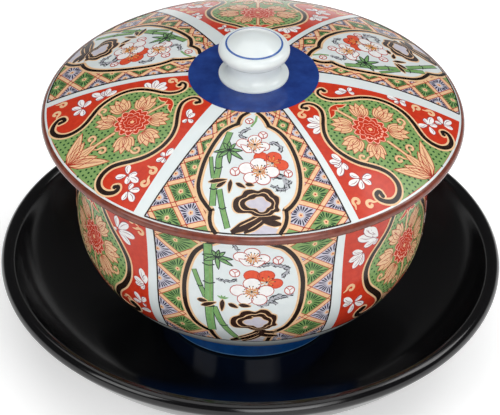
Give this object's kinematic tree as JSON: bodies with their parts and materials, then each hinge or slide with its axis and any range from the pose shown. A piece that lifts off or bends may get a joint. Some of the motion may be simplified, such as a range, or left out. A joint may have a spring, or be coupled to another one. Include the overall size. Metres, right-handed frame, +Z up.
{
  "type": "covered bowl",
  "caption": "Footed porcelain bowl with an overhanging domed lid and turned knob, standing in a deep lacquered saucer, for serving food or soup covered.",
  "frame": {"origin": "centre of the face that the saucer's foot ring stands on", "axes": "+Z up along the turning axis, -Y towards the front panel with the window, +X to the right"},
  "size_m": [0.1648, 0.1648, 0.114],
  "materials": {
    "lacquer": "polished black lacquer",
    "enamelled_porcelain": "clear glaze under painted enamels",
    "cobalt_porcelain": "glossy cobalt glaze",
    "white_porcelain": "glossy bluish white glaze"
  },
  "bodies": {
    "saucer": {"saucer_dish": "lacquer", "saucer_foot_ring": "lacquer"},
    "bowl": {"bowl_body": "enamelled_porcelain", "bowl_foot_ring": "cobalt_porcelain"},
    "lid": {"lid_dome": "enamelled_porcelain", "lid_flange": "white_porcelain", "lid_knob": "white_porcelain"}
  },
  "joints": [
    {"name": "bowl_lift", "type": "slide", "parent": "saucer", "child": "bowl", "axis": [0, 0, 1], "range_m": [0, 0.1]},
    {"name": "lid_lift", "type": "slide", "parent": "bowl", "child": "lid", "axis": [0, 0, 1], "range_m": [0, 0.1]}
  ]
}
